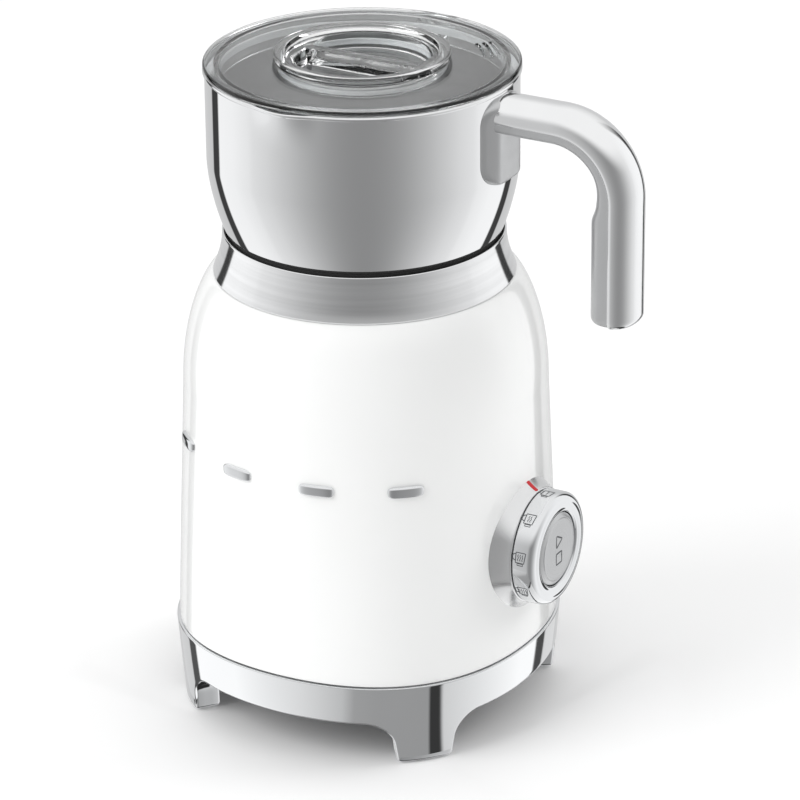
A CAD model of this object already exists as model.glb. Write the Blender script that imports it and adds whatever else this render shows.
"""Looks of an induction milk frother: painted power base, chrome foot ring, dial, steel jug, handle, lid and cap.

Sizes inside the shape functions are millimetres; a piece is turned into metres when its mesh is made.
Z is up, the dial faces +X, the row of studs faces -Y, and the base's axis is the Z axis.
"""

import math

import bmesh
import bpy
import numpy as np
from mathutils import Matrix, Quaternion, Vector

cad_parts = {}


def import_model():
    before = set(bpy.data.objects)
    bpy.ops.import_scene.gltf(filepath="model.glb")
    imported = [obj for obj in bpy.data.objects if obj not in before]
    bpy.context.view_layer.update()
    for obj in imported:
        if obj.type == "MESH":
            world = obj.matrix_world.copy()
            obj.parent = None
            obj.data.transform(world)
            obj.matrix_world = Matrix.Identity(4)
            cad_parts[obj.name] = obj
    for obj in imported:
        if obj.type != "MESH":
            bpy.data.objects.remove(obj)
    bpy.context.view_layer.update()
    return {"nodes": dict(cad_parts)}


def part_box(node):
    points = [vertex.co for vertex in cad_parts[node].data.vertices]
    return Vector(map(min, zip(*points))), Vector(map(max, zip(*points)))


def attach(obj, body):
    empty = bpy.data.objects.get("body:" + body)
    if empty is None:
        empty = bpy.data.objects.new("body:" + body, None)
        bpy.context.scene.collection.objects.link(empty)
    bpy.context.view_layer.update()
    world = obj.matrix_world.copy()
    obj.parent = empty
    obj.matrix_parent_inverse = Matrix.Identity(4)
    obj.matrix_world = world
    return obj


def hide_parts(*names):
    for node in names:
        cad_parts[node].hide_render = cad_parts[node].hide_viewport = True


MM = 0.001
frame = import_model()


# ---------- Camera ----------

def place_camera():
    """Long lens, 30 degrees to the right of the front and about 23.5 degrees above the middle of the base."""
    turn, lift, distance = math.radians(30), math.radians(23.516), 1.589
    middle = Vector((0, 0, 0.122))
    aim = Vector((0.0106, 0.0060, 0.1132))
    tilt = math.radians(0.533)
    side = Vector((math.sin(turn) * math.cos(lift), -math.cos(turn) * math.cos(lift), math.sin(lift)))
    camera = bpy.data.objects.new("camera", bpy.data.cameras.new("camera"))
    camera.data.lens = 197
    camera.data.clip_start = 0.05
    camera.location = middle + side * distance
    look = (aim - camera.location).to_track_quat("-Z", "Y")
    camera.rotation_euler = (look @ Quaternion((0, 0, 1), -tilt)).to_euler()
    bpy.context.scene.collection.objects.link(camera)
    bpy.context.scene.camera = camera
    return side


view_side = place_camera()


# ---------- Measures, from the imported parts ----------

def box_mm(node):
    """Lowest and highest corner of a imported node, in millimetres."""
    low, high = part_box(node)
    return np.array(low) / MM, np.array(high) / MM


ring_low, ring_high = box_mm("base_ring")
body_low, body_high = box_mm("housing")
collar_high = box_mm("collar")[1]
jug_low, jug_high = box_mm("jug")
bezel_high = box_mm("dial_bezel")[1]
knob_low, knob_high = box_mm("dial_knob")
button_low, button_high = box_mm("start_button")
shell_low, shell_high = box_mm("handle_shell")
liner_low, liner_high = box_mm("handle_liner")
bracket_low, bracket_high = box_mm("handle_bracket")
stud_low, stud_high = box_mm("front_studs")
lid_low, lid_high = box_mm("lid")
cap_low, cap_high = box_mm("cap")
whisk_low, whisk_high = box_mm("whisk_ring")

CORNER = 0.021                      # how far the four corners stand out, as a share of the radius
SHOULDER_H = 40.6                   # height of the rounded shoulder
TAPER = 3.0                         # radius that the housing loses up to its shoulder
ARCH_DROP = 15                      # from the top of the ring to the top of its arches
RIM_ROLL = 0.8                      # radius of the jug's rolled rim
BEZEL_BORE = 16.5                   # radius of the hole through the dial's bezel
ring_top = ring_high[2]
foot_z = ring_low[2]
body_z = body_low[2]
neck_z = body_high[2]
shoulder_z = neck_z - SHOULDER_H
body_r = body_high[0] / (1 - CORNER)
shoulder_r = body_r - TAPER
neck_r = collar_high[0]
collar_z = collar_high[2]
rim_z = jug_high[2]
dial_z = (knob_low[2] + knob_high[2]) / 2
jug_r = jug_high[0] - RIM_ROLL


# ---------- Grids ----------

class Grid:
    """Closed surface over a table of points, rows by columns; each way may join its last line to its first."""

    def __init__(self, points, close_rows=False, close_columns=True, holes=None):
        self.points = np.asarray(points, float)
        rows, columns = self.points.shape[:2]
        r = np.arange(rows if close_rows else rows - 1)
        c = np.arange(columns if close_columns else columns - 1)
        r, c = (g.ravel() for g in np.meshgrid(r, c, indexing="ij"))
        if holes is not None:
            solid = ~holes[r, c]
            r, c = r[solid], c[solid]
        r2, c2 = (r + 1) % rows, (c + 1) % columns
        self.faces = np.stack([r * columns + c, r * columns + c2, r2 * columns + c2, r2 * columns + c], 1)

    def add_faces(self, faces):
        self.faces = np.vstack([self.faces, faces])
        return self

    def outward(self):
        """Faces turned so that the enclosed volume counts as positive."""
        p = self.points.reshape(-1, 3)
        q = p[self.faces]
        first = np.einsum("ij,ij->i", q[:, 0], np.cross(q[:, 1], q[:, 2]))
        second = np.einsum("ij,ij->i", q[:, 0], np.cross(q[:, 2], q[:, 3]))
        return self.faces if (first + second).sum() > 0 else self.faces[:, ::-1]


def add_object(name, points, faces, material):
    """Mesh object at the origin, from points in millimetres."""
    mesh = bpy.data.meshes.new(name)
    mesh.from_pydata((points * MM).tolist(), [], faces.tolist())
    mesh.materials.append(material)
    added = bpy.data.objects.new(name, mesh)
    bpy.context.scene.collection.objects.link(added)
    return added


def make_piece(name, grids, body, slot, replaces=(), material=None, sharp=32):
    """One mesh object from closed grids: doubles merged, smooth below the sharp angle, painted as its slot."""
    grids = grids if isinstance(grids, list) else [grids]
    points, faces, start = [], [], 0
    for g in grids:
        points.append(g.points.reshape(-1, 3))
        faces.append(g.outward() + start)
        start += len(points[-1])
    piece = add_object(name, np.vstack(points), np.vstack(faces), material or paints[slot])
    mesh = piece.data
    build = bmesh.new()
    build.from_mesh(mesh)
    bmesh.ops.remove_doubles(build, verts=build.verts, dist=1e-7)
    build.to_mesh(mesh)
    build.free()
    mesh.shade_smooth()
    mesh.set_sharp_from_angle(angle=math.radians(sharp))
    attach(piece, body)
    if replaces:
        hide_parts(*replaces)
    return piece


def turn_of(columns):
    """Angles of a full turn in equal steps, without the last one."""
    return np.arange(columns) * 2 * math.pi / columns


def ease(t):
    """Smooth step: 3 t squared less 2 t cubed, held between 0 and 1."""
    t = np.clip(t, 0, 1)
    return t * t * (3 - 2 * t)


def rounded_line(corners, radii, steps=6):
    """Open line through corners, each inner one rounded by an arc tangent to both of its sides."""
    corners = [np.array(c, float) for c in corners]
    out = [corners[0][None]]
    for before, here, after, radius in zip(corners, corners[1:], corners[2:], radii):
        u = (before - here) / np.linalg.norm(before - here)
        v = (after - here) / np.linalg.norm(after - here)
        half = math.acos(np.clip(u @ v, -1, 1)) / 2
        middle = (u + v) / np.linalg.norm(u + v)
        centre = here + middle * radius / math.sin(half)
        a, b = here + u * radius / math.tan(half) - centre, here + v * radius / math.tan(half) - centre
        sweep = math.acos(np.clip(a @ b / radius ** 2, -1, 1))
        t = np.linspace(0, 1, steps + 1)[:, None]
        out.append(centre + (np.sin((1 - t) * sweep) * a + np.sin(t * sweep) * b) / math.sin(sweep))
    out.append(corners[-1][None])
    return np.vstack(out)


def rounded_loop(corners, radii, steps=6):
    """Closed line with every corner rounded: the open one run once round, from corner to corner."""
    last, first = corners[-1], corners[0]
    line = rounded_line([last] + list(corners) + [first], radii, steps)
    return line[1:-1]


def refined(line, longest):
    """The same line with its long stretches divided, so that no step is longer than asked."""
    out = [line[:1]]
    for a, b in zip(line, line[1:]):
        n = max(1, math.ceil(np.linalg.norm(b - a) / longest))
        out.append(a + (b - a) * np.arange(1, n + 1)[:, None] / n)
    return np.vstack(out)


def spun(profile, columns=192, close_rows=True):
    """Profile of radius and height turned about Z."""
    a = turn_of(columns)
    r, z = profile[:, :1], profile[:, 1:]
    return Grid(np.stack([r * np.cos(a), r * np.sin(a), z + 0 * a], 2), close_rows)


def spun_x(profile, columns=192, close_rows=True):
    """Profile of radius and place along X, turned about the dial's axis; angle 0 points up, then towards -Y."""
    a = turn_of(columns)
    r, x = profile[:, :1], profile[:, 1:]
    return Grid(np.stack([x + 0 * a, -r * np.sin(a), dial_z + r * np.cos(a)], 2), close_rows)


# ---------- Materials ----------

class Nodes:
    """Short hand for one material's node tree around its Principled shader."""

    def __init__(self, name, colour, metallic=0.0, roughness=0.4, **sockets):
        self.material = bpy.data.materials.new(name)
        self.material.use_nodes = True
        self.tree = self.material.node_tree
        self.shader = self.tree.nodes["Principled BSDF"]
        values = {"Base Color": (*colour, 1), "Metallic": metallic, "Roughness": roughness}
        for socket, value in {**values, **sockets}.items():
            self.shader.inputs[socket].default_value = value
        self.object = self.add("ShaderNodeTexCoord").outputs["Object"]

    def add(self, kind, **values):
        node = self.tree.nodes.new(kind)
        for key, value in values.items():
            if hasattr(node, key):
                setattr(node, key, value)
            else:
                node.inputs[key].default_value = value
        return node

    def link(self, out, socket):
        self.tree.links.new(out, socket)

    def noise(self, scale, detail=3.0, stretch=(1, 1, 1), roughness=0.5):
        """Noise on object coordinates; stretch above 1 squeezes the grain along that axis."""
        place = self.add("ShaderNodeMapping")
        place.inputs["Scale"].default_value = stretch
        self.link(self.object, place.inputs["Vector"])
        node = self.add("ShaderNodeTexNoise")
        node.inputs["Scale"].default_value = scale
        node.inputs["Detail"].default_value = detail
        node.inputs["Roughness"].default_value = roughness
        self.link(place.outputs[0], node.inputs["Vector"])
        return node.outputs["Fac"]

    def spread(self, fac, low, high, start=0.3, end=0.7):
        """Factor from start to end mapped to low to high."""
        node = self.add("ShaderNodeMapRange")
        self.link(fac, node.inputs["Value"])
        for socket, value in (("From Min", start), ("From Max", end), ("To Min", low), ("To Max", high)):
            node.inputs[socket].default_value = value
        return node.outputs["Result"]

    def tint(self, fac, dark, light):
        """Colour between dark and light by a factor, on the shader's base colour."""
        node = self.add("ShaderNodeMix")
        node.data_type = "RGBA"
        self.link(fac, node.inputs[0])
        node.inputs[6].default_value = (*dark, 1)
        node.inputs[7].default_value = (*light, 1)
        self.link(node.outputs[2], self.shader.inputs["Base Color"])

    def bump(self, fac, height, strength=1.0):
        """Bump of a height in metres, laid over any bump before it."""
        node = self.add("ShaderNodeBump")
        node.inputs["Distance"].default_value = height
        node.inputs["Strength"].default_value = strength
        self.link(fac, node.inputs["Height"])
        earlier = self.shader.inputs["Normal"]
        if earlier.is_linked:
            self.link(earlier.links[0].from_socket, node.inputs["Normal"])
        self.link(node.outputs["Normal"], earlier)


def scaled(colour, k):
    """The colour made lighter or darker, held at white."""
    return tuple(min(1.0, c * k) for c in colour)


def enamel(name, colour):
    """Baked gloss paint: a faint orange peel under a clear coat, and slow changes of gloss."""
    n = Nodes(name, colour, roughness=0.22, **{"Coat Weight": 1.0, "Coat Roughness": 0.02, "Coat IOR": 1.5})
    n.tint(n.spread(n.noise(9, 2), 0, 1), scaled(colour, 0.985), scaled(colour, 1.01))
    n.link(n.spread(n.noise(60, 4), 0.18, 0.27), n.shader.inputs["Roughness"])
    n.bump(n.noise(420, 2), 0.000012, 0.35)
    return n.material


def polished(name, colour, gloss=0.035):
    """Mirror metal with a breath of handling haze and very fine polishing lines."""
    n = Nodes(name, colour, 1.0, gloss)
    n.link(n.spread(n.noise(28, 5, roughness=0.6), gloss * 0.7, gloss * 1.7), n.shader.inputs["Roughness"])
    n.tint(n.spread(n.noise(12, 3), 0, 1), scaled(colour, 0.97), scaled(colour, 1.02))
    n.bump(n.noise(900, 2, (1, 1, 3)), 0.000002, 0.25)
    return n.material


def brushed(name, colour, gloss=0.28, along=(0.02, 0.02, 1), fine=2600, depth=0.000012):
    """Satin metal: long fine scratches, squeezed along one axis, in colour, gloss and height."""
    n = Nodes(name, colour, 1.0, gloss)
    lines = n.noise(fine, 4, along, 0.65)
    broad = n.noise(fine / 6, 2, along)
    n.tint(n.spread(broad, 0, 1), scaled(colour, 0.93), scaled(colour, 1.04))
    n.link(n.spread(lines, gloss * 0.8, gloss * 1.3), n.shader.inputs["Roughness"])
    n.bump(lines, depth, 0.5)
    return n.material


def moulded(name, colour, roughness=0.45, grain=1500, depth=0.00002, mottle=0.04, **sockets):
    """Moulded plastic or rubber: fine spark grain, slight mottling and uneven gloss."""
    n = Nodes(name, colour, roughness=roughness, **sockets)
    n.tint(n.spread(n.noise(70, 4), 0, 1), scaled(colour, 1 - mottle), scaled(colour, 1 + mottle))
    n.link(n.spread(n.noise(240, 3), roughness * 0.85, roughness * 1.15), n.shader.inputs["Roughness"])
    n.bump(n.noise(grain, 3), depth, 0.5)
    return n.material


def clear(name, colour, ior=1.49):
    """Clear moulded plastic that lets lamps light what is behind it."""
    n = Nodes(name, colour, roughness=0.0, **{"Transmission Weight": 1.0, "IOR": ior})
    n.link(n.spread(n.noise(35, 3), 0.0, 0.03), n.shader.inputs["Roughness"])
    n.bump(n.noise(160, 2), 0.000004, 0.2)
    through = n.add("ShaderNodeBsdfTransparent")
    through.inputs["Color"].default_value = (*scaled(colour, 0.97), 1)
    path = n.add("ShaderNodeLightPath")
    mix = n.add("ShaderNodeMixShader")
    n.link(path.outputs["Is Shadow Ray"], mix.inputs[0])
    n.link(n.shader.outputs[0], mix.inputs[1])
    n.link(through.outputs[0], mix.inputs[2])
    n.link(mix.outputs[0], n.tree.nodes["Material Output"].inputs["Surface"])
    return n.material


def wound(name, colour, gloss=0.2):
    """Enamelled winding wire: metal under a thin coloured varnish."""
    n = Nodes(name, colour, 0.9, gloss, **{"Coat Weight": 0.6, "Coat Roughness": 0.1})
    n.tint(n.spread(n.noise(300, 3), 0, 1), scaled(colour, 0.8), scaled(colour, 1.1))
    n.bump(n.noise(1800, 2), 0.00001, 0.4)
    return n.material


paints = {
    "white_paint": enamel("gloss_white_enamel", (0.93, 0.935, 0.93)),
    "chrome_ring": polished("polished_chrome", (0.80, 0.81, 0.82)),
    "satin_steel": brushed("satin_steel", (0.86, 0.865, 0.87), 0.13, (0.02, 0.02, 1), 2600, 0.000003),
    "mirror_steel": polished("mirror_steel", (0.86, 0.865, 0.87), 0.02),
    "plain_steel": brushed("plain_steel", (0.60, 0.61, 0.62), 0.34, (0.3, 0.3, 1), 900),
    "grey_plastic": moulded("grey_satin_lacquer", (0.58, 0.585, 0.59), 0.34, 3000, 0.0000006, 0.012, Metallic=0.85),
    "dark_plastic": moulded("dark_grained_plastic", (0.035, 0.035, 0.038), 0.5),
    "silver_plastic": moulded("silver_lacquered_plastic", (0.80, 0.805, 0.81), 0.2, 3000, 0.0000004, 0.01,
                              Metallic=0.85),
    "clear_plastic": clear("clear_moulded_plastic", (0.975, 0.98, 0.98)),
    "clear_silicone": moulded("frosted_silicone", (0.82, 0.84, 0.85), 0.4, 700, 0.00001, 0.03,
                              **{"Transmission Weight": 0.35}),
    "dark_rubber": moulded("matt_rubber", (0.03, 0.03, 0.03), 0.75, 900, 0.00004),
    "red_mark": moulded("red_print", (0.62, 0.012, 0.02), 0.3, 1200, 0.000008),
    "copper": wound("enamelled_copper", (0.72, 0.33, 0.16)),
    "ferrite": moulded("sintered_ferrite", (0.07, 0.07, 0.08), 0.6, 500, 0.00005, 0.12),
    "bronze": brushed("sintered_bronze", (0.62, 0.44, 0.22), 0.4, (1, 1, 1), 1200),
    "board_green": moulded("solder_mask", (0.02, 0.17, 0.07), 0.3, 200, 0.00002, 0.1),
    "capacitor_sleeve": moulded("shrink_sleeve", (0.03, 0.04, 0.13), 0.25, 300, 0.00001, 0.06),
    "tape_yellow": moulded("polyester_tape", (0.72, 0.52, 0.09), 0.3, 260, 0.00002, 0.06),
    "aluminium_fin": brushed("extruded_aluminium", (0.70, 0.71, 0.72), 0.3, (1, 1, 0.02), 1500),
}
ink = moulded("grey_print", (0.075, 0.08, 0.085), 0.45, 1500, 0.000004)
jug_inside = brushed("brushed_steel_inside", (0.52, 0.525, 0.53), 0.36, (0.02, 0.02, 1), 1900, 0.00002)


# ---------- Housing ----------

def corner_share(z):
    """How far the corners stand out at a height: all of it by the ring, none at the neck."""
    return CORNER * ease((neck_z - z) / (neck_z - ring_top))


def squared(r, z, a):
    """Radius r with four soft corners, by the cosine of four times the angle from a corner."""
    return r * (1 + corner_share(z) * np.cos(4 * (a - math.pi / 4)))


def mean_skin(z):
    """Straight taper up to the shoulder."""
    return body_r - (body_r - shoulder_r) * (z - body_z) / (shoulder_z - body_z)


def skin_line():
    """Mean radius and height up the skin: the taper, then over the shoulder by a power of the cosine."""
    power = 1.45
    z = np.linspace(body_z + 0.25, shoulder_z, 46)
    t = np.linspace(0, 0.5 * math.pi, 44)[1:]
    low = np.stack([mean_skin(z), z], 1)
    high = np.stack([neck_r + (shoulder_r - neck_r) * np.cos(t) ** power, shoulder_z + SHOULDER_H * np.sin(t)], 1)
    return np.vstack([low, high])


def skin_r(z, a):
    """Radius of the skin below the shoulder at a height and an angle from +X."""
    return squared(mean_skin(z), z, a)


def skin_x(y, z):
    """Where the skin is along X, for a place across and up, by a few steps of the angle."""
    a = 0 * y
    for _ in range(5):
        a = np.arcsin(y / skin_r(z, a))
    return skin_r(z, a) * np.cos(a)


def housing():
    """Skin line up, over a small edge and down an inner line a wall's thickness inside; turned with four corners."""
    wall, edge = 2.4, 0.25
    outer = skin_line()
    t = np.linspace(-0.5 * math.pi, 0, 5)[:-1]
    foot = edge * np.stack([np.cos(t) - 1, np.sin(t)], 1) + [mean_skin(body_z), body_z + edge]
    inner = outer[::-1] - [wall, 0]
    inner[:, 1] = np.minimum(inner[:, 1], neck_z - wall)
    line = np.vstack([foot, outer, [[neck_r - wall, neck_z]], inner, [[mean_skin(body_z) - wall, body_z]]])
    a = turn_of(288)
    r = squared(line[:, :1], line[:, 1:], a)
    grid = Grid(np.stack([r * np.cos(a), r * np.sin(a), line[:, 1:] + 0 * a], 2), close_rows=True)
    make_piece("painted_housing", grid, "base", "white_paint", ["housing"])


# ---------- Base ring ----------

def ring_r(z):
    """Mean radius of the ring, leaning in towards the floor."""
    lean = 2.4
    return ring_high[0] / (1 - CORNER) - lean * (ring_top - z) / ring_top


def edge_half(gap):
    """Lower edge from the middle of an arch to the middle of the next foot, as angle and height.

    It is drawn flat as distance across and height: arch, round fall, side of the foot, round corner, foot."""
    arch_z = ring_top - ARCH_DROP
    line = rounded_line([(0, arch_z), (gap - 0.6, arch_z), (gap + 0.6, foot_z), (gap + 12, foot_z)], (9.5, 1.6), 14)
    line = refined(line, 1.2)
    a = 0 * line[:, 0]
    for _ in range(6):
        a = np.arcsin(np.clip(line[:, 0] / (ring_r(line[:, 1]) * (1 - CORNER * np.cos(4 * a))), 0, 0.9))
    keep = a < math.pi / 4 - 0.01
    return np.vstack([np.stack([a[keep], line[keep, 1]], 1), [[math.pi / 4, foot_z]]])


def ring_edge():
    """The whole lower edge: a side arch to a front arch by way of a foot, mirrored, and both once more."""
    side_gap, front_gap = 38.5, 42.0
    side, front = edge_half(side_gap), edge_half(front_gap)
    quarter = np.vstack([side, front[-2::-1] * [-1, 1] + [math.pi / 2, 0]])
    half = np.vstack([quarter, quarter[-2:0:-1] * [-1, 1] + [math.pi, 0]])
    return np.vstack([half, half + [math.pi, 0]])


def base_ring():
    """The ring's skin between its top and its lower edge, rounded over the edge and back up inside.

    A point is an angle, a height and a depth behind the skin; near the edge it steps off at right angles to it."""
    wall, foot_wall = 3.2, 9.5
    bead, lip = 1.1, 0.2
    edge = ring_edge()
    step = np.roll(edge, -1, 0) - np.roll(edge, 1, 0)
    step[:, 0] = (step[:, 0] + math.pi) % (2 * math.pi) - math.pi
    radius = ring_r(edge[:, 1])
    along = np.stack([step[:, 0] * radius, step[:, 1]], 1)
    along /= np.linalg.norm(along, axis=1)[:, None]
    inward = np.stack([-along[:, 1] / radius, along[:, 0]], 1)
    length = np.linalg.norm(np.stack([step[:, 0] * radius, step[:, 1]], 1), axis=1)
    top_angle = np.cumsum(length) / length.sum() * 2 * math.pi
    top_angle += edge[0, 0] - top_angle[0]
    foot = ease((ring_top - ARCH_DROP - bead - edge[:, 1]) / 8)
    thick = wall + (foot_wall - wall) * foot
    quarter = np.linspace(0, 0.5 * math.pi, 7)
    short_quarter = np.linspace(0.5 * math.pi, 0, 5)
    rows = []

    def row(rise, off, depth):
        """Share of the way up to the top, distance off the edge along the skin, and depth behind the skin."""
        low = edge + inward * off
        a = low[:, 0] + (top_angle - low[:, 0]) * rise
        z = low[:, 1] + (ring_top - low[:, 1]) * rise
        r = ring_r(z) * (1 + CORNER * np.cos(4 * (a - math.pi / 4))) - depth
        rows.append(np.stack([r * np.cos(a), r * np.sin(a), z], 1))

    for t in short_quarter:
        row(1 - lip * (1 - math.sin(t)) / ARCH_DROP, 0, lip * (1 - math.cos(t)))
    for rise in np.linspace(0.96, 0.06, 14):
        row(rise, bead, 0)
    for t in quarter:
        row(0, bead * (1 - math.sin(t)), bead * (1 - math.cos(t)))
    for share in (0.35, 0.7):
        row(0, 0, bead + (thick - 2 * bead) * share)
    for t in short_quarter:
        row(0, bead * (1 - math.sin(t)), thick - bead * (1 - math.cos(t)))
    for rise in np.linspace(0.08, 1, 8):
        row(rise, bead * (1 - rise), thick + (wall - thick) * ease(rise / 0.3 - 1))
    grid = Grid(np.stack(rows), close_rows=True)
    make_piece("chrome_base_ring", grid, "base", "chrome_ring", ["base_ring"], sharp=50)


# ---------- Collar ----------

def collar():
    """Upright band that flares to the neck by a power of the height, rolled over at its top, with an inner wall."""
    spread, power, wall = 3.6, 1.9, 1.1
    low, top = neck_z + 0.35, collar_z - 0.9
    upright = neck_r - spread
    well = upright - wall
    t = np.linspace(0.02, 1, 26)
    flare = np.stack([upright + spread * (1 - t) ** power, low + (top - low) * t], 1)
    roll = rounded_line([flare[-1], (upright, collar_z), (well, collar_z), (well, collar_z - 10)], (0.5, 0.5), 8)
    under = [(well, neck_z + 0.2), (neck_r - 1.2, neck_z + 0.2), (neck_r - 0.3, neck_z + 0.12)]
    line = np.vstack([flare, roll[1:], under])
    make_piece("satin_collar", spun(line), "base", "satin_steel", ["collar"], collar_metal)


# ---------- Studs ----------

def stud(angle):
    """Pill-shaped bar wrapped on the skin: outline a rounded strip, height a flat dome that falls to the edge."""
    half_w, half_h, height = 6.5, (stud_high[2] - stud_low[2]) / 2, 1.6
    middle = (stud_high[2] + stud_low[2]) / 2
    theta = turn_of(72)
    outline = np.stack([np.sign(np.cos(theta)) * np.abs(np.cos(theta)) ** 0.35 * half_w,
                        np.sign(np.sin(theta)) * np.abs(np.sin(theta)) ** 0.55 * half_h], 1)
    rho = np.sin(np.linspace(0, 1, 12) * math.pi / 2)[:, None, None]
    lift = height * (1 - rho ** 5) ** 0.4
    flat = outline[None] * rho
    front = np.concatenate([flat, lift + 0 * flat[..., :1]], 2)
    back = np.concatenate([flat[::-1], -0.6 + 0 * flat[..., :1]], 2)
    table = np.vstack([front, back])
    z = middle + table[..., 1]
    a = math.radians(angle - 90) + table[..., 0] / mean_skin(z)
    r = squared(mean_skin(z), z, a) + table[..., 2]
    return Grid(np.stack([r * np.cos(a), r * np.sin(a), z], 2))


def front_studs():
    """Four bars in a row, at angles from the front."""
    grids = [stud(angle) for angle in (-42.5, -14, 14.2, 41.5)]
    make_piece("chrome_studs", grids, "base", "chrome_ring", ["front_studs"], sharp=60)


# ---------- Dial ----------

dial_front = knob_high[0]
ring_back = bezel_high[0] + 0.35
dial_r = (knob_high[1] - knob_low[1]) / 2
bezel_r = 24.4
bezel_top_r = dial_r + 0.3


def bezel_point(angle, share, lift=0.0):
    """Point on the flare, a hollow cone from the skin (share 0) to its front edge (share 1); lift stands off it."""
    y, z = -bezel_r * np.sin(angle), bezel_r * np.cos(angle)
    foot = skin_x(y, dial_z + z) - 0.4
    x = foot + (bezel_high[0] - foot) * share + lift * 0.4
    fall = np.abs(1 - share) ** 1.35
    roll = 0.5 * (1 - np.sqrt(np.clip(1 - np.clip((share - 0.93) / 0.07, 0, 1) ** 2, 0, 1)))
    r = bezel_top_r + (bezel_r - bezel_top_r) * fall - roll + lift * 0.9
    return np.stack([x + 0 * r, -r * np.sin(angle), dial_z + r * np.cos(angle)], -1)


def dial_bezel():
    """Flared collar seated on the skin, with a rolled front edge and a flat land behind the turning ring."""
    a = turn_of(192)
    share = np.r_[np.linspace(0, 0.93, 14), np.linspace(0.94, 1, 6)][:, None]
    front = bezel_point(a, share)
    inner = []
    for r, back in ((bezel_top_r - 0.9, 0.05), (BEZEL_BORE + 1.9, 0.1), (BEZEL_BORE, 1.2)):
        x = bezel_high[0] - back
        inner.append(np.stack([x + 0 * a, -r * np.sin(a), dial_z + r * np.cos(a)], 1))
    y, z = -BEZEL_BORE * np.sin(a), dial_z + BEZEL_BORE * np.cos(a)
    inner.append(np.stack([skin_x(y, z) - 1.5, y, z], 1))
    foot = bezel_point(a, np.zeros((1, 1)))[0] - [1.2, 0, 0]
    grid = Grid(np.concatenate([front, np.stack(inner), foot[None]]), close_rows=True)
    make_piece("dial_collar", grid, "base", "silver_plastic", ["dial_bezel"])


def index_mark():
    """Red stripe laid on the top of the flare, a little proud of it, with round ends."""
    rows, columns = 24, 9
    t = np.linspace(0, 1, rows)[:, None]
    share = 0.03 + 0.92 * t
    end = np.sqrt(np.clip(1 - (2 * t - 1) ** 12, 0, 1))
    across = np.linspace(-1, 1, columns)
    angle = across * math.radians(2.5) * end
    dome = 0.14 * np.sqrt(np.clip(1 - across ** 4, 0, 1)) * end
    top = bezel_point(angle, share, dome + 0.02)
    under = bezel_point(angle[:, ::-1], share, -0.3)
    grid = Grid(np.concatenate([top, under], 1))
    upper = np.arange(columns)
    lower = 2 * columns - 1 - upper
    closing = np.stack([upper[:-1], upper[1:], lower[1:], lower[:-1]], 1)
    grid.add_faces(closing[:, ::-1])
    grid.add_faces(closing + (rows - 1) * 2 * columns)
    make_piece("red_index_mark", grid, "base", "red_mark", ["index_mark"], sharp=50)


def dial_ring():
    """Turning ring: straight band, round shoulder, softly domed front land, and a round lip into the bore."""
    r, x0, x1 = dial_r, ring_back, dial_front
    bore = (button_high[1] - button_low[1]) / 2 + 0.3
    nose = 2.7
    dome = np.linspace(0, 1, 12)
    land = np.stack([r - nose - (r - nose - bore - 0.9) * dome, x1 - 0.35 + 0.35 * np.sin(math.pi * dome)], 1)
    shoulder = rounded_line([(r - 0.6, x0), (r, x0), (r, x1 - 0.3), (r - nose, x1 - 0.3)], (0.5, nose - 0.2), 11)
    lip = rounded_line([land[-1], (bore, x1 - 0.4), (bore, x1 - 5.2)], (0.8,), 7)
    line = np.vstack([shoulder, land[1:], lip[1:], [[bore + 1.5, x1 - 5.4], [bore + 1.5, x0 + 0.8]]])
    make_piece("dial_turning_ring", spun_x(refined(line, 3)), "dial", "chrome_ring", ["dial_knob"], sharp=40)


def start_button():
    """Disc with a fine groove, a bevel that falls away round it and a skirt in the bore."""
    r = (button_high[1] - button_low[1]) / 2
    x = button_high[0]
    line = rounded_line(
        [(0, x - 0.12), (r - 2.0, x - 0.02), (r - 1.8, x - 0.4), (r - 1.6, x - 0.1), (r, x - 1.0), (r, x - 4)],
        (0.25, 0.08, 0.15, 0.3), 5)
    line = refined(line, 1.5)
    line = np.vstack([line, [[0, x - 4]]])
    make_piece("start_stop_button", spun_x(line, close_rows=False), "button", "satin_steel", ["start_button"],
               button_metal)


def spun_metal(name, colour, gloss):
    """Satin disc turned on a lathe: fine rings about the dial's axis in gloss and height."""
    n = Nodes(name, colour, 1.0, gloss)
    place = n.add("ShaderNodeMapping")
    place.inputs["Location"].default_value = (0, 0, -dial_z * MM)
    place.inputs["Scale"].default_value = (0, 1, 1)
    n.link(n.object, place.inputs["Vector"])
    length = n.add("ShaderNodeVectorMath", operation="LENGTH")
    n.link(place.outputs[0], length.inputs[0])
    rings = n.add("ShaderNodeTexNoise", noise_dimensions="1D")
    rings.inputs["Scale"].default_value = 5200
    rings.inputs["Detail"].default_value = 3
    n.link(length.outputs["Value"], rings.inputs["W"])
    n.link(n.spread(rings.outputs["Fac"], gloss * 0.8, gloss * 1.25), n.shader.inputs["Roughness"])
    n.tint(n.spread(rings.outputs["Fac"], 0, 1), scaled(colour, 0.94), scaled(colour, 1.03))
    n.bump(rings.outputs["Fac"], 0.00001, 0.4)
    return n.material


collar_metal = brushed("collar_satin_steel", (0.89, 0.895, 0.90), 0.075, (0.02, 0.02, 1), 2600, 0.0000005)
button_metal = spun_metal("spun_satin_steel", (0.62, 0.625, 0.63), 0.34)


# ---------- Printed signs ----------

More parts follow.
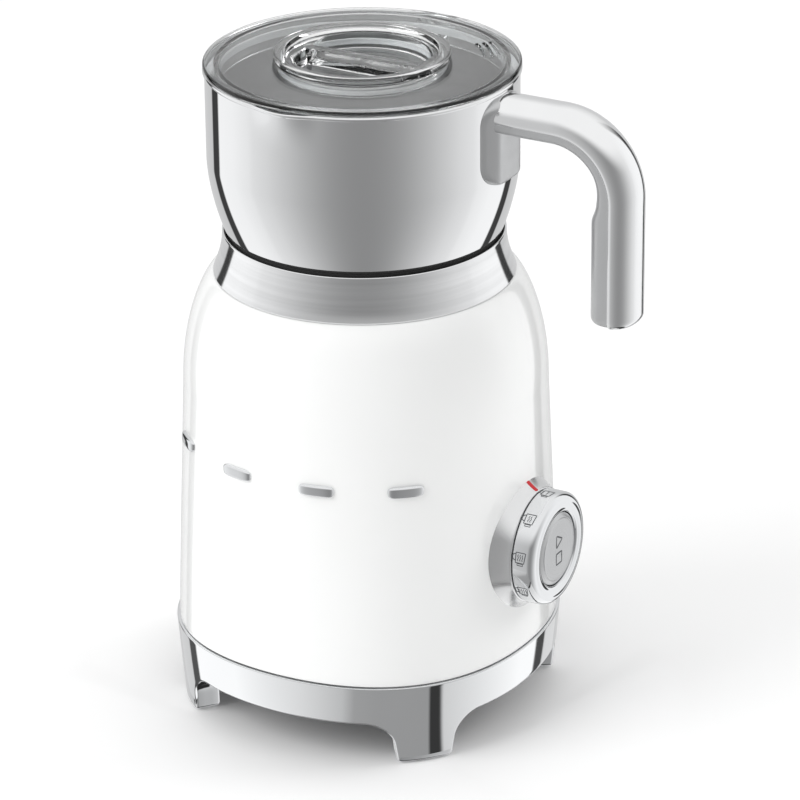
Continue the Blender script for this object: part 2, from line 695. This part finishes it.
def stroke(line, place, width=0.42, height=0.06, closed=False):
    """Thin printed line: a flat strip along a path of two numbers, set on a surface by place(u, v, lift)."""
    line = np.asarray(line, float)
    if closed:
        ahead = np.roll(line, -1, 0) - np.roll(line, 1, 0)
    else:
        ahead = np.gradient(line, axis=0)
    ahead /= np.linalg.norm(ahead, axis=1)[:, None]
    side = np.stack([-ahead[:, 1], ahead[:, 0]], 1) * width / 2
    left, right = line + side, line - side
    low, high = -0.1, height
    ring = [place(p[:, 0], p[:, 1], lift) for p, lift in ((left, low), (left, high), (right, high), (right, low))]
    points = np.stack(ring, 1)
    grid = Grid(points, close_rows=closed)
    if not closed:
        last = (len(line) - 1) * 4
        grid.add_faces(np.array([[3, 2, 1, 0], [last, last + 1, last + 2, last + 3]]))
    return grid


def on_band(angle):
    """Places a sign's u, along the dial's axis, and v, round the band, at an angle from the top."""
    size, middle = 1.2, (ring_back + dial_front) / 2 - 1.1

    def place(u, v, lift):
        r = dial_r + lift
        a = math.radians(angle) - size * v / dial_r
        x = middle + size * u
        return np.stack([x + 0 * a, -r * np.sin(a), dial_z + r * np.cos(a)], -1)
    return place


def beaker_sign(angle, waves):
    """A beaker with a side loop and a foot, and some rising waves in it."""
    place = on_band(angle)
    body = refined(np.array([(-1.5, -1.3), (1.3, -1.3), (1.7, 1.9), (-1.5, 1.9), (-1.5, -1.3)]), 0.5)[:-1]
    t = np.linspace(-0.5 * math.pi, 0.5 * math.pi, 14)
    loop = np.stack([-1.5 - 1.15 * np.cos(t), 0.45 + 1.0 * np.sin(t)], 1)
    foot = refined(np.array([(-0.9, -2.1), (0.9, -2.1), (0.9, -1.5), (-0.9, -1.5), (-0.9, -2.1)]), 0.4)[:-1]
    grids = [stroke(body, place, 0.26, closed=True), stroke(loop, place, 0.26),
             stroke(foot, place, 0.22, closed=True)]
    rise = np.linspace(-0.7, 1.3, 16)
    for k in range(waves):
        across = (k - (waves - 1) / 2) * 0.72
        wave = np.stack([across + 0.14 * np.sin(rise * 5.5), rise], 1)
        grids.append(stroke(wave, place, 0.2))
    return grids


def dial_signs():
    """Nine signs round the band, forty degrees apart, with none to four waves."""
    grids = []
    for k in range(9):
        grids += beaker_sign(40 * k, (1, 2, 3, 4, 0, 3, 2, 1, 4)[k])
    make_piece("dial_printed_signs", grids, "dial", "chrome_ring", material=ink, sharp=60)


def button_signs():
    """A triangle and a square, for go and halt, on the button's face."""
    x = button_high[0] - 0.11

    def place(u, v, lift):
        return np.stack([x + lift + 0 * u, u, dial_z + v + 0 * u], -1)

    triangle = rounded_loop([(-2.0, 0.9), (2.6, 3.4), (-2.0, 5.9)], (0.4, 0.4, 0.4), 4)
    square = rounded_loop([(-2.1, -5.6), (2.1, -5.6), (2.1, -1.4), (-2.1, -1.4)], (0.4,) * 4, 4)
    grids = [stroke(refined(np.vstack([g, g[:1]]), 0.6)[:-1], place, 0.6, 0.05, closed=True)
             for g in (triangle, square)]
    make_piece("button_printed_signs", grids, "button", "satin_steel", material=ink, sharp=60)


# ---------- Jug ----------

def lip_share(angle, z):
    """Share of a pouring lip: a bell of the angle on each of the two sides, growing up to the rim by a power."""
    half_turn, height, power = 14, 15, 1.7
    off = np.abs(np.abs(np.degrees(angle) % 360 - 180) - 90)
    bell = np.cos(np.clip(off / half_turn, 0, 1) * math.pi / 2) ** 2
    return bell * np.clip((z - (rim_z - height)) / height, 0, 1) ** power


def jug():
    """Thin steel wall: foot with a dark seal, belly by a power of the height, rolled rim, and back down inside."""
    wall, lip = 1.0, 2.2
    waist_z, belly_h, belly_in, power = collar_z + 2.2, 25.6, 5.3, 1.7
    t = np.linspace(0, 1, 26)
    belly = np.stack([jug_r - belly_in * (1 - t) ** power, waist_z + belly_h * t], 1)
    foot_low, foot_r = jug_low[2], 49.1
    foot = rounded_line([(0, foot_low), (foot_r, foot_low), (foot_r, collar_z + 0.6), belly[0], belly[1]],
                        (3, 0.2, 0.1), 6)[:-1]
    straight = np.stack([np.full(16, jug_r), np.linspace(waist_z + belly_h + 1, rim_z - 1.5, 16)], 1)
    turn = np.linspace(-50, 230, 16) * math.pi / 180
    rim = np.stack([jug_r - 0.1 + RIM_ROLL * np.cos(turn), rim_z - RIM_ROLL + RIM_ROLL * np.sin(turn)], 1)
    inner_belly = belly[::-1] - [wall, 0]
    inner_straight = straight[::-1] - [wall, 0]
    inner = rounded_line([inner_belly[-1], (foot_r - wall, waist_z - 2), (foot_r - wall, foot_low + wall),
                          (0, foot_low + wall)], (3, 4), 8)
    line = np.vstack([foot, belly[1:], straight, rim, inner_straight, inner_belly[1:], refined(inner, 4)[1:]])
    line = line[np.r_[True, np.linalg.norm(np.diff(line, axis=0), axis=1) > 1e-6]]
    a = turn_of(256)
    r = line[:, :1] + lip * lip_share(a, line[:, 1:]) * (line[:, :1] > jug_r - 3)
    table = np.stack([r * np.cos(a), r * np.sin(a), line[:, 1:] + 0 * a], 2)
    piece = make_piece("steel_jug", Grid(table), "jug", "mirror_steel", ["jug"], sharp=50)
    piece.data.materials.append(jug_inside)
    piece.data.materials.append(paints["dark_rubber"])
    centres, normals = (np.zeros((len(piece.data.polygons), 3)) for _ in range(2))
    piece.data.polygons.foreach_get("center", centres.ravel())
    piece.data.polygons.foreach_get("normal", normals.ravel())
    reach = np.linalg.norm(centres[:, :2], axis=1)
    facing_in = (centres[:, :2] * normals[:, :2]).sum(1) < -0.2 * reach
    floor = (reach < (foot_r - 1) * MM) & (normals[:, 2] > 0.5)
    inside = (facing_in & (centres[:, 2] < (rim_z - 1.2) * MM) & (reach < (jug_r - 0.5) * MM)) | floor
    seal = ~inside & (reach > (foot_r - 0.3) * MM) & (centres[:, 2] < waist_z * MM)
    piece.data.polygons.foreach_set("material_index", inside + 2 * seal.astype(np.int32))


# ---------- Handle ----------

seam_r = 22.8
grip_x = shell_high[0]
shell_t = grip_x - liner_high[0]
bend_x, bend_z = liner_high[0] - seam_r, shell_high[2] - shell_t - seam_r
handle_end = shell_low[2]


def handle_path(start_x, end_z):
    """Seam line in the plane y = 0: along the arm, a quarter turn, down the grip; and its outward directions."""
    arm, bend, grip = 14, 40, 36
    top = bend_z + seam_r
    line = [np.stack([np.linspace(start_x, bend_x, arm, endpoint=False), np.full(arm, top)], 1)]
    out = [np.tile([0.0, 1.0], (arm, 1))]
    t = np.linspace(0, 0.5 * math.pi, bend)
    out.append(np.stack([np.sin(t), np.cos(t)], 1))
    line.append(out[-1] * seam_r + [bend_x, bend_z])
    z = np.linspace(bend_z, end_z, grip + 1)[1:]
    line.append(np.stack([np.full(grip, bend_x + seam_r), z], 1))
    out.append(np.tile([1.0, 0.0], (grip, 1)))
    return np.vstack(line), np.vstack(out)


def swept(section, start_x, end_z, depth=None, round_u=1.4, round_v=3.4):
    """Section of across and outwards carried along the seam line; the lower end rounds over and closes.

    depth scales the section outwards row by row."""
    line, out = handle_path(start_x, end_z)
    left = np.abs(line[:, 1] - end_z)
    low = line[:, 1] < bend_z
    size_u = np.abs(section[:, 0]).max()
    size_v = np.abs(section[:, 1]).max()
    t = np.linspace(0, 1, 9)
    extra = np.stack([np.full(9, line[-1, 0]), end_z + round_v * (1 - np.sin(t * math.pi / 2))], 1)
    keep = ~(low & (left < round_v + 0.3))
    line, out = np.vstack([line[keep], extra]), np.vstack([out[keep], np.tile([1.0, 0.0], (9, 1))])
    rest = np.clip((round_v - (line[:, 1] - end_z)) / round_v, 0, 1) * (np.arange(len(line)) >= len(line) - 9)
    fall = 1 - np.sqrt(np.clip(1 - rest ** 2, 0, 1))
    scale_v = np.ones(len(line)) if depth is None else depth(line) / size_v
    u = section[:, 0] * (1 - fall[:, None] * round_u / size_u)
    v = section[:, 1] * (scale_v[:, None] - fall[:, None] * round_v / size_v)
    x = line[:, :1] + out[:, :1] * v
    z = line[:, 1:] + out[:, 1:] * v
    table = np.stack([x, u, z], 2)
    start = table[0].mean(0) + 0 * table[:1]
    end = table[-1].mean(0) + 0 * table[-1:]
    return Grid(np.concatenate([start, table, end]))


def shell_line():
    """Section of the shell: an ellipse-like crown from the seam on one side to the seam on the other, flat below."""
    half = (shell_high[1] - shell_low[1]) / 2
    a = np.linspace(0, math.pi, 45)
    u = half * np.sign(np.cos(a)) * np.abs(np.cos(a)) ** 0.86
    v = 0.03 + (shell_t - 0.03) * np.sin(a) ** 0.9
    u[[0, -1]] *= 1 - 0.35 / half
    v[[1, -2]] = np.maximum(v[[1, -2]], 0.35)
    base = np.stack([np.linspace(-half + 0.4, half - 0.4, 12)[1:-1], np.full(10, 0.03)], 1)
    return np.vstack([np.stack([u, v], 1), base])


def handle_shell():
    """Metal half of the handle, from inside the bracket to the end of the grip, flat on the seam."""
    grid = swept(shell_line(), shell_low[0], handle_end)
    make_piece("handle_metal_shell", grid, "jug", "satin_steel", ["handle_shell"], handle_metal, 40)


def liner_depth(line):
    """Depth of the liner under the seam: thin on the arm, fuller out of the bend, and a soft step down to the grip."""
    x, z = line[:, 0], line[:, 1]
    out_of_bend = ease((bend_z + 14 - z) / 18) * (x > bend_x)
    return 3.9 + 1.8 * out_of_bend + 1.6 * ease((bend_z - 1 - z) / 6)


def handle_liner():
    """Plastic half of the handle, under the seam, with rounder inner edges."""
    half = (liner_high[1] - liner_low[1]) / 2
    section = rounded_line([(half, -0.03), (half, -4.8), (-half, -4.8), (-half, -0.03)], (2.6, 2.6), 9)
    section = refined(np.vstack([section, section[:1]]), 1.6)[:-1]
    grid = swept(section, liner_low[0], handle_end + 0.5, liner_depth, 1.2, 3.0)
    make_piece("handle_grip_liner", grid, "jug", "grey_plastic", ["handle_liner"], sharp=40)


def handle_bracket():
    """Block on the jug's wall: flat outer face, two flanks that slope to the wall, and an outline with round ends.

    Its height over the wall is the lower of the face and the flanks, softly joined, and falls off at the outline."""
    low, high = bracket_low[2], bracket_high[2]
    flank, face_half, slope, face = bracket_high[1], 7.5, 1.13, bracket_high[0]
    outline = rounded_loop([(flank, low), (flank, high), (-flank, high), (-flank, low)], (8.9,) * 4, 14)
    outline = refined(np.vstack([outline, outline[:1]]), 1.0)[:-1] - [0, (low + high) / 2]
    rho = np.sin(np.linspace(0, 1, 40) * math.pi / 2)[:, None]
    y, z = outline[:, 0] * rho, outline[:, 1] * rho
    soft = 0.8
    over = np.abs(y) - face_half
    side = 0.5 * (over + np.sqrt(over ** 2 + soft ** 2)) / slope
    inset = (1 - rho) * np.linalg.norm(outline, axis=1)
    edge = np.sqrt(np.clip(1 - np.clip(1 - inset / 2.0, 0, 1) ** 2.2, 0, 1))
    wall = np.sqrt(jug_r ** 2 - y ** 2) + 0.02
    x = wall + np.maximum(face - side + 0.25 - wall, 0.02) * edge
    front = np.stack([x, y, (low + high) / 2 + z], 2)
    back = np.stack([wall - 0.05, y, (low + high) / 2 + z], 2)[::-1]
    grid = Grid(np.vstack([front, back]))
    make_piece("handle_jug_bracket", grid, "jug", "grey_plastic", ["handle_bracket"], sharp=60)


handle_metal = moulded("handle_satin_steel", (0.90, 0.905, 0.91), 0.11, 3000, 0.0000003, 0.01, Metallic=1.0)


# ---------- Whisk ----------

def whisk_spring():
    """Spring wound round the ring: a wire that circles the ring's own circle many times as it goes round."""
    coils, coil_r, wire = 84, 1.6, 0.42
    ring = whisk_high[0] - coil_r
    middle = (whisk_high[2] + whisk_low[2]) / 2
    reach = coil_r - wire
    t = turn_of(coils * 14)[:, None]
    a, w = t, t * coils
    out = np.stack([np.cos(a), np.sin(a), 0 * a], -1)
    up = np.array([0, 0, 1.0])
    centre = out * (ring + reach * np.cos(w)[..., None]) + up * (middle + reach * np.sin(w)[..., None])
    radial = out * np.cos(w)[..., None] + up * np.sin(w)[..., None]
    ahead = np.roll(centre, -1, 0) - np.roll(centre, 1, 0)
    ahead /= np.linalg.norm(ahead, axis=-1, keepdims=True)
    side = np.cross(ahead, radial)
    s = turn_of(8)[None, :, None]
    table = centre + wire * (radial * np.cos(s) + side * np.sin(s))
    make_piece("whisk_spring", Grid(table, close_rows=True), "whisk", "plain_steel", ["whisk_ring"], sharp=60)


# ---------- Lid and cap ----------

def lid():
    """Clear plate with a rolled edge, a skirt down into the jug, a round hole for the cap and three curved slots."""
    r, z0, z1 = lid_high[0], lid_high[2] - 1.8, lid_high[2]
    bore = cap_high[0] - 2.8
    skirt, low = 52.3, lid_low[2]
    slots = [middle + half for middle in (48.3, 45.7, 43.1) for half in (0.6, -0.6)]
    edge = rounded_line([(skirt, z0), (r, z0), (r, z1), (slots[0], z1)], (0.6, 0.8), 6)
    top = [(s, z1) for s in slots]
    hole = rounded_line([(slots[-1], z1), (bore, z1), (bore, z0 - 2.4), (bore + 1.6, z0 - 2.4), (bore + 1.6, z0),
                         (slots[-1], z0)], (0.4, 0.5, 0.5, 0.3), 4)
    under = [(s, z0) for s in slots[::-1]]
    sides = rounded_line([(slots[0], z0), (skirt - 1.6, z0), (skirt - 1.6, low), (skirt, low), (skirt, z0)],
                         (0.3, 0.5, 0.5), 4)
    line = np.vstack([edge[:-1], top, hole[1:-1], under, sides[1:-1]])
    first_top = len(edge) - 1
    first_under = first_top + len(slots) + len(hole) - 2
    columns = 240
    first, last = 21, 33
    holes = np.zeros((len(line), columns), bool)
    walls = []
    mark = lambda row, column: row * columns + column
    for k in (0, 2, 4):
        a, b = first_top + k, first_top + k + 1
        c, d = first_under + 4 - k, first_under + 5 - k
        holes[a, first:last] = True
        holes[c, first:last] = True
        s = np.arange(first, last)
        walls.append(np.stack([mark(a, s + 1), mark(a, s), mark(d, s), mark(d, s + 1)], 1))
        walls.append(np.stack([mark(b, s), mark(b, s + 1), mark(c, s + 1), mark(c, s)], 1))
        walls.append(np.array([[mark(a, first), mark(b, first), mark(c, first), mark(d, first)],
                               [mark(b, last), mark(a, last), mark(d, last), mark(c, last)]]))
    a = turn_of(columns)
    table = np.stack([line[:, :1] * np.cos(a), line[:, :1] * np.sin(a), line[:, 1:] + 0 * a], 2)
    grid = Grid(table, close_rows=True, holes=holes)
    for w in walls:
        grid.add_faces(w[:, ::-1])
    make_piece("clear_lid", grid, "lid", "clear_plastic", ["lid"], sharp=40)


def cap():
    """Clear cap: a height over a round plan, high at the rim, a deck inside it, and two deep wells beside a bar."""
    r, z0, z1 = cap_high[0], cap_low[2], cap_high[2]
    plug = r - 3.6
    deck, floor = z1 - 2.3, z0 + 1.5
    a = turn_of(360)
    radii = np.linspace(0, r - 0.8, 96)
    x, y = radii[:, None] * np.cos(a), radii[:, None] * np.sin(a)
    reach = np.hypot(x, y)
    rim = ease((reach - (plug - 1.4)) / 1.2)
    inside = np.minimum(np.minimum(24.6 - reach, np.abs(y) - 2.6), 21.5 - np.abs(x))
    well = ease(inside / 1.5 + 0.3)
    z = deck + (z1 - deck) * rim - (deck - floor) * well
    top = np.stack([x, y, z], 2)
    side = rounded_line([(r - 0.8, z1), (r, z1), (r, z1 - 2.6), (plug, z1 - 2.6), (plug, z0), (0, z0)],
                        (0.8, 0.5, 0.3, 0.8), 6)[1:]
    side = refined(side, 3)
    rest = np.stack([side[:, :1] * np.cos(a), side[:, :1] * np.sin(a), side[:, 1:] + 0 * a], 2)
    make_piece("clear_cap", Grid(np.vstack([top, rest])), "cap", "clear_plastic", ["cap"], sharp=50)


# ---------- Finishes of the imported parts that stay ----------

def finish_packed_parts():
    """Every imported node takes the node-based finish of the slot that the record gives it."""
    for node in frame["nodes"].values():
        for place in node.material_slots:
            slot = place.material.name.split(".")[0] if place.material else "plain_steel"
            place.material = paints.get(slot, paints["plain_steel"])


# ---------- Studio ----------

def world():
    """White sky. Mirrors see a round studio: grey beside the camera, white walls, two dark cards and a grey back."""
    sky = bpy.data.worlds.new("studio")
    bpy.context.scene.world = sky
    sky.use_nodes = True
    tree = sky.node_tree
    add, link = tree.nodes.new, tree.links.new

    def vector(operation, first, second=(0, 0, 0), output="Vector"):
        node = add("ShaderNodeVectorMath")
        node.operation = operation
        link(first, node.inputs[0])
        node.inputs[1].default_value = second
        return node.outputs[output]

    def ranged(value, low, high, start=0.0, end=1.0, curve="LINEAR"):
        node = add("ShaderNodeMapRange")
        node.interpolation_type = curve
        link(value, node.inputs["Value"])
        for socket, number in (("From Min", low), ("From Max", high), ("To Min", start), ("To Max", end)):
            node.inputs[socket].default_value = number
        return node.outputs[0]

    def mixed(share, first, second=None, level=1.0):
        node = add("ShaderNodeMix")
        node.data_type = "RGBA"
        node.inputs[7].default_value = (level, level, level, 1)
        for socket, out in ((0, share), (6, first), (7, second)):
            if out:
                link(out, node.inputs[socket])
        return node.outputs[2]

    ray = add("ShaderNodeTexCoord").outputs["Generated"]
    towards = Vector((view_side.x, view_side.y, 0)).normalized()
    level_ray = vector("NORMALIZE", vector("MULTIPLY", ray, (1, 1, 0)))
    ramp = add("ShaderNodeValToRGB")
    stops = ((180, 0.72), (144, 0.68), (142, 0.055), (132, 0.06), (130, 1.12), (110, 1.1), (93, 1.0), (88, 0.92),
             (75, 0.83), (56, 0.65), (40, 0.50), (25, 0.385), (0, 0.315))
    while len(ramp.color_ramp.elements) < len(stops):
        ramp.color_ramp.elements.new(0.5)
    for element, (angle, level) in zip(ramp.color_ramp.elements, stops):
        element.position = (math.cos(math.radians(angle)) + 1) / 2
        element.color = (level, level * 1.003, level * 1.008, 1)
    link(ranged(vector("DOT_PRODUCT", level_ray, towards, "Value"), -1, 1), ramp.inputs[0])
    mirrored = ramp.outputs[0]
    parts = add("ShaderNodeSeparateXYZ")
    link(ray, parts.inputs[0])
    for low, top, level in ((0.25, 0.75, 1.05), (-0.89, -0.93, 0.03)):
        mirrored = mixed(ranged(parts.outputs["Z"], low, top, curve="SMOOTHSTEP"), mirrored, level=level)
    dim_side = Matrix.Rotation(math.radians(52), 3, "Z") @ towards
    lighting = ranged(vector("DOT_PRODUCT", ray, dim_side, "Value"), -0.3, 1, 1.04, 0.60)
    ground = tree.nodes["Background"]
    link(mixed(add("ShaderNodeLightPath").outputs["Is Glossy Ray"], lighting, mirrored), ground.inputs["Color"])
    ground.inputs["Strength"].default_value = 0.92


def soft_light(name, place, size, power):
    """Large square lamp aimed at the middle of the object; mirrors and the camera don't see it."""
    light = bpy.data.lights.new(name, "AREA")
    light.size = size
    light.energy = power
    lamp = bpy.data.objects.new(name, light)
    lamp.location = place
    lamp.rotation_euler = (Vector((0, 0, 0.12)) - lamp.location).to_track_quat("-Z", "Y").to_euler()
    lamp.visible_camera = False
    lamp.visible_glossy = False
    bpy.context.scene.collection.objects.link(lamp)


def floor():
    """Pale seamless floor, square, with a faint grain."""
    n = Nodes("pale_floor", (0.95, 0.95, 0.95), roughness=0.85)
    n.tint(n.spread(n.noise(4, 2), 0, 1), (0.945, 0.945, 0.945), (0.955, 0.955, 0.955))
    n.bump(n.noise(300, 2), 0.00002, 0.2)
    half = 30000
    corners = np.array([(-half, -half, 0), (half, -half, 0), (half, half, 0), (-half, half, 0)])
    plane = add_object("studio_floor", corners, np.arange(4)[None], n.material)
    plane.visible_glossy = False


def reflector():
    """Low card round the foot, seen by mirrors only: each strip of it lies where one upright line of the ring looks.

    A point on the ring at a turn t from the camera's side looks out along a turn of 2 t, so the card's strips leave
    the ring at t and run along 2 t; how bright a strip is depends on t alone."""
    n = Nodes("reflector_card", (0, 0, 0), roughness=1)
    level = n.add("ShaderNodeAttribute")
    level.attribute_name = "level"
    n.shader.inputs["Specular IOR Level"].default_value = 0
    n.shader.inputs["Emission Strength"].default_value = 1
    n.link(level.outputs["Color"], n.shader.inputs["Emission Color"])
    turns = np.radians(np.arange(-80, 80.1, 0.5))
    stops = ((-180, 0.75), (-138.5, 0.72), (-137, 0.10), (-128, 0.10), (-126.5, 1.2), (-90, 1.2), (-69, 1.0),
             (-48, 0.83), (-23, 0.60), (-15, 0.40), (0, 0.37), (36.4, 0.36), (37.6, 0.045), (44.8, 0.045),
             (47.6, 0.74), (65, 0.84), (116, 1.18), (131, 1.18), (132.6, 0.08), (141, 0.08), (142.5, 0.8), (180, 0.8))
    angles, levels = np.array(stops).T
    strength = np.interp(np.degrees(2 * turns), angles, levels)
    facing = math.atan2(view_side.y, view_side.x)
    reach = np.linspace(0, 60, 13)[:, None]
    start, along = facing + turns, facing + 2 * turns
    table = np.stack([72 * np.cos(start) + reach * np.cos(along), 72 * np.sin(start) + reach * np.sin(along),
                      0.3 + 0 * reach + 0 * start], 2)
    card = add_object("reflector_card", table.reshape(-1, 3), Grid(table, close_columns=False).faces, n.material)
    shade = card.data.color_attributes.new("level", "FLOAT_COLOR", "POINT")
    shade.data.foreach_set("color", np.repeat(np.tile(strength, len(reach)), 4))
    card.visible_camera = card.visible_diffuse = card.visible_shadow = card.visible_transmission = False


finish_packed_parts()
housing()
base_ring()
collar()
front_studs()
dial_bezel()
index_mark()
dial_ring()
dial_signs()
start_button()
button_signs()
jug()
handle_shell()
handle_liner()
handle_bracket()
whisk_spring()
lid()
cap()
for name in ("handle_metal_shell", "handle_grip_liner", "handle_jug_bracket"):
    bpy.data.objects[name].visible_glossy = False
frame["nodes"]["handle_screws"].visible_glossy = False
world()
floor()
reflector()
soft_light("key_light", (-1.1, -1.6, 1.5), 1.4, 22)
soft_light("back_light", (1.3, 1.2, 1.1), 1.0, 11)
bpy.context.scene.view_settings.view_transform = "Standard"
